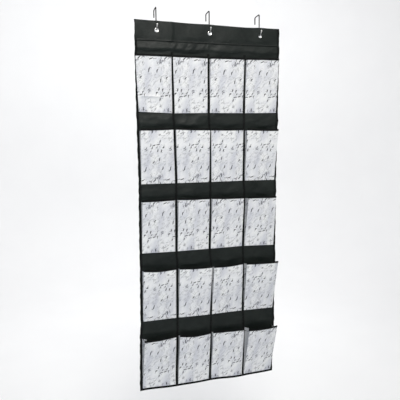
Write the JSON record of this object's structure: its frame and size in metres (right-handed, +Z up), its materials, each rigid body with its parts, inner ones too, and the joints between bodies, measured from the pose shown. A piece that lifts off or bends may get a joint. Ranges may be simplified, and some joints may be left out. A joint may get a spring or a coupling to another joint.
{
  "type": "over-door shoe organizer",
  "caption": "Black fabric shoe organizer with rows of marbled, black-bound pockets, eyelets in the header and wire hooks over a door.",
  "frame": {"origin": "middle of the middle hook's saddle, where it bears on the top edge of the door", "axes": "+Z up, -Y out of the door towards the person using it, +X to that person's right"},
  "size_m": [0.54, 0.0812, 1.394],
  "materials": {
    "backing_cloth": "matte",
    "binding_tape": "matte",
    "pocket_print": "matte",
    "eyelet_metal": "polished",
    "hook_wire": "satin"
  },
  "bodies": {
    "hook_middle": {"door_hook_middle": "hook_wire"},
    "header": {"header_backing": "backing_cloth", "header_hem": "backing_cloth", "header_edge_bindings": "binding_tape", "eyelets": "eyelet_metal", "eyelet_washers": "eyelet_metal"},
    "hook_left": {"door_hook_left": "hook_wire"},
    "hook_right": {"door_hook_right": "hook_wire"},
    "row_1": {"backing_row_1": "backing_cloth", "seam_tapes_row_1": "binding_tape"},
    "mouth_1_1": {"pocket_1_1": "pocket_print", "mouth_binding_1_1": "binding_tape"},
    "mouth_1_2": {"pocket_1_2": "pocket_print", "mouth_binding_1_2": "binding_tape"},
    "mouth_1_3": {"pocket_1_3": "pocket_print", "mouth_binding_1_3": "binding_tape"},
    "mouth_1_4": {"pocket_1_4": "pocket_print", "mouth_binding_1_4": "binding_tape"},
    "row_2": {"backing_row_2": "backing_cloth", "seam_tapes_row_2": "binding_tape"},
    "mouth_2_1": {"pocket_2_1": "pocket_print", "mouth_binding_2_1": "binding_tape"},
    "mouth_2_2": {"pocket_2_2": "pocket_print", "mouth_binding_2_2": "binding_tape"},
    "mouth_2_3": {"pocket_2_3": "pocket_print", "mouth_binding_2_3": "binding_tape"},
    "mouth_2_4": {"pocket_2_4": "pocket_print", "mouth_binding_2_4": "binding_tape"},
    "row_3": {"backing_row_3": "backing_cloth", "seam_tapes_row_3": "binding_tape"},
    "mouth_3_1": {"pocket_3_1": "pocket_print", "mouth_binding_3_1": "binding_tape"},
    "mouth_3_2": {"pocket_3_2": "pocket_print", "mouth_binding_3_2": "binding_tape"},
    "mouth_3_3": {"pocket_3_3": "pocket_print", "mouth_binding_3_3": "binding_tape"},
    "mouth_3_4": {"pocket_3_4": "pocket_print", "mouth_binding_3_4": "binding_tape"},
    "row_4": {"backing_row_4": "backing_cloth", "seam_tapes_row_4": "binding_tape"},
    "mouth_4_1": {"pocket_4_1": "pocket_print", "mouth_binding_4_1": "binding_tape"},
    "mouth_4_2": {"pocket_4_2": "pocket_print", "mouth_binding_4_2": "binding_tape"},
    "mouth_4_3": {"pocket_4_3": "pocket_print", "mouth_binding_4_3": "binding_tape"},
    "mouth_4_4": {"pocket_4_4": "pocket_print", "mouth_binding_4_4": "binding_tape"},
    "row_5": {"backing_row_5": "backing_cloth", "seam_tapes_row_5": "binding_tape", "bottom_binding": "binding_tape"},
    "mouth_5_1": {"pocket_5_1": "pocket_print", "mouth_binding_5_1": "binding_tape"},
    "mouth_5_2": {"pocket_5_2": "pocket_print", "mouth_binding_5_2": "binding_tape"},
    "mouth_5_3": {"pocket_5_3": "pocket_print", "mouth_binding_5_3": "binding_tape"},
    "mouth_5_4": {"pocket_5_4": "pocket_print", "mouth_binding_5_4": "binding_tape"}
  },
  "joints": [
    {"name": "header_swing", "type": "hinge", "parent": "hook_middle", "child": "header", "pos_m": [0, -0.028, -0.0753], "axis": [-1, 0, 0], "range_deg": [0, 6]},
    {"name": "hook_left_swivel", "type": "hinge", "parent": "header", "child": "hook_left", "pos_m": [-0.194, -0.028, -0.0753], "axis": [-1, 0, 0], "range_deg": [-6, 0]},
    {"name": "hook_right_swivel", "type": "hinge", "parent": "header", "child": "hook_right", "pos_m": [0.194, -0.028, -0.0753], "axis": [-1, 0, 0], "range_deg": [-6, 0]},
    {"name": "fold_1", "type": "hinge", "parent": "header", "child": "row_1", "pos_m": [0, -0.0276, -0.139], "axis": [1, 0, 0], "range_deg": [-110, 150]},
    {"name": "fold_2", "type": "hinge", "parent": "row_1", "child": "row_2", "pos_m": [0, -0.0276, -0.3895], "axis": [-1, 0, 0], "range_deg": [-150, 110]},
    {"name": "fold_3", "type": "hinge", "parent": "row_2", "child": "row_3", "pos_m": [0, -0.0276, -0.645], "axis": [1, 0, 0], "range_deg": [-110, 150]},
    {"name": "fold_4", "type": "hinge", "parent": "row_3", "child": "row_4", "pos_m": [0, -0.0276, -0.9005], "axis": [-1, 0, 0], "range_deg": [-150, 110]},
    {"name": "fold_5", "type": "hinge", "parent": "row_4", "child": "row_5", "pos_m": [0, -0.0276, -1.156], "axis": [1, 0, 0], "range_deg": [-110, 150]},
    {"name": "open_1_1", "type": "hinge", "parent": "row_1", "child": "mouth_1_1", "pos_m": [-0.1995, -0.0293, -0.3595], "axis": [1, 0, 0], "range_deg": [0, 8], "stiffness_Nm_per_rad": 0.04, "springref_deg": -3.44},
    {"name": "open_1_2", "type": "hinge", "parent": "row_1", "child": "mouth_1_2", "pos_m": [-0.0665, -0.0293, -0.3595], "axis": [1, 0, 0], "range_deg": [0, 8], "stiffness_Nm_per_rad": 0.04, "springref_deg": -3.44},
    {"name": "open_1_3", "type": "hinge", "parent": "row_1", "child": "mouth_1_3", "pos_m": [0.0665, -0.0293, -0.3595], "axis": [1, 0, 0], "range_deg": [0, 8], "stiffness_Nm_per_rad": 0.04, "springref_deg": -3.44},
    {"name": "open_1_4", "type": "hinge", "parent": "row_1", "child": "mouth_1_4", "pos_m": [0.1995, -0.0293, -0.3595], "axis": [1, 0, 0], "range_deg": [0, 7.5], "stiffness_Nm_per_rad": 0.04, "springref_deg": -3.44},
    {"name": "open_2_1", "type": "hinge", "parent": "row_2", "child": "mouth_2_1", "pos_m": [-0.1995, -0.0293, -0.615], "axis": [1, 0, 0], "range_deg": [0, 7.5], "stiffness_Nm_per_rad": 0.04, "springref_deg": -3.44},
    {"name": "open_2_2", "type": "hinge", "parent": "row_2", "child": "mouth_2_2", "pos_m": [-0.0665, -0.0293, -0.615], "axis": [1, 0, 0], "range_deg": [0, 7.5], "stiffness_Nm_per_rad": 0.04, "springref_deg": -3.44},
    {"name": "open_2_3", "type": "hinge", "parent": "row_2", "child": "mouth_2_3", "pos_m": [0.0665, -0.0293, -0.615], "axis": [1, 0, 0], "range_deg": [0, 7.5], "stiffness_Nm_per_rad": 0.04, "springref_deg": -3.44},
    {"name": "open_2_4", "type": "hinge", "parent": "row_2", "child": "mouth_2_4", "pos_m": [0.1995, -0.0293, -0.615], "axis": [1, 0, 0], "range_deg": [0, 6.5], "stiffness_Nm_per_rad": 0.04, "springref_deg": -3.44},
    {"name": "open_3_1", "type": "hinge", "parent": "row_3", "child": "mouth_3_1", "pos_m": [-0.1995, -0.0293, -0.8705], "axis": [1, 0, 0], "range_deg": [0, 7.5], "stiffness_Nm_per_rad": 0.04, "springref_deg": -3.44},
    {"name": "open_3_2", "type": "hinge", "parent": "row_3", "child": "mouth_3_2", "pos_m": [-0.0665, -0.0293, -0.8705], "axis": [1, 0, 0], "range_deg": [0, 7.5], "stiffness_Nm_per_rad": 0.04, "springref_deg": -3.44},
    {"name": "open_3_3", "type": "hinge", "parent": "row_3", "child": "mouth_3_3", "pos_m": [0.0665, -0.0293, -0.8705], "axis": [1, 0, 0], "range_deg": [0, 7], "stiffness_Nm_per_rad": 0.04, "springref_deg": -3.44},
    {"name": "open_3_4", "type": "hinge", "parent": "row_3", "child": "mouth_3_4", "pos_m": [0.1995, -0.0293, -0.8705], "axis": [1, 0, 0], "range_deg": [0, 6], "stiffness_Nm_per_rad": 0.04, "springref_deg": -3.44},
    {"name": "open_4_1", "type": "hinge", "parent": "row_4", "child": "mouth_4_1", "pos_m": [-0.1995, -0.0293, -1.126], "axis": [1, 0, 0], "range_deg": [0, 7], "stiffness_Nm_per_rad": 0.04, "springref_deg": -3.44},
    {"name": "open_4_2", "type": "hinge", "parent": "row_4", "child": "mouth_4_2", "pos_m": [-0.0665, -0.0293, -1.126], "axis": [1, 0, 0], "range_deg": [0, 7], "stiffness_Nm_per_rad": 0.04, "springref_deg": -3.44},
    {"name": "open_4_3", "type": "hinge", "parent": "row_4", "child": "mouth_4_3", "pos_m": [0.0665, -0.0293, -1.126], "axis": [1, 0, 0], "range_deg": [0, 6], "stiffness_Nm_per_rad": 0.04, "springref_deg": -3.44},
    {"name": "open_4_4", "type": "hinge", "parent": "row_4", "child": "mouth_4_4", "pos_m": [0.1995, -0.0293, -1.126], "axis": [1, 0, 0], "range_deg": [0, 4.5], "stiffness_Nm_per_rad": 0.04, "springref_deg": -3.44},
    {"name": "open_5_1", "type": "hinge", "parent": "row_5", "child": "mouth_5_1", "pos_m": [-0.1995, -0.0293, -1.3815], "axis": [1, 0, 0], "range_deg": [0, 4.5], "stiffness_Nm_per_rad": 0.04, "springref_deg": -3.44},
    {"name": "open_5_2", "type": "hinge", "parent": "row_5", "child": "mouth_5_2", "pos_m": [-0.0665, -0.0293, -1.3815], "axis": [1, 0, 0], "range_deg": [0, 5.5], "stiffness_Nm_per_rad": 0.04, "springref_deg": -3.44},
    {"name": "open_5_3", "type": "hinge", "parent": "row_5", "child": "mouth_5_3", "pos_m": [0.0665, -0.0293, -1.3815], "axis": [1, 0, 0], "range_deg": [0, 6.5], "stiffness_Nm_per_rad": 0.04, "springref_deg": -3.44},
    {"name": "open_5_4", "type": "hinge", "parent": "row_5", "child": "mouth_5_4", "pos_m": [0.1995, -0.0293, -1.3815], "axis": [1, 0, 0], "range_deg": [0, 3], "stiffness_Nm_per_rad": 0.04, "springref_deg": -3.44}
  ],
  "couplings": [
    {"joint": "hook_left_swivel", "follows": "header_swing", "ratio": -1},
    {"joint": "hook_right_swivel", "follows": "header_swing", "ratio": -1}
  ]
}
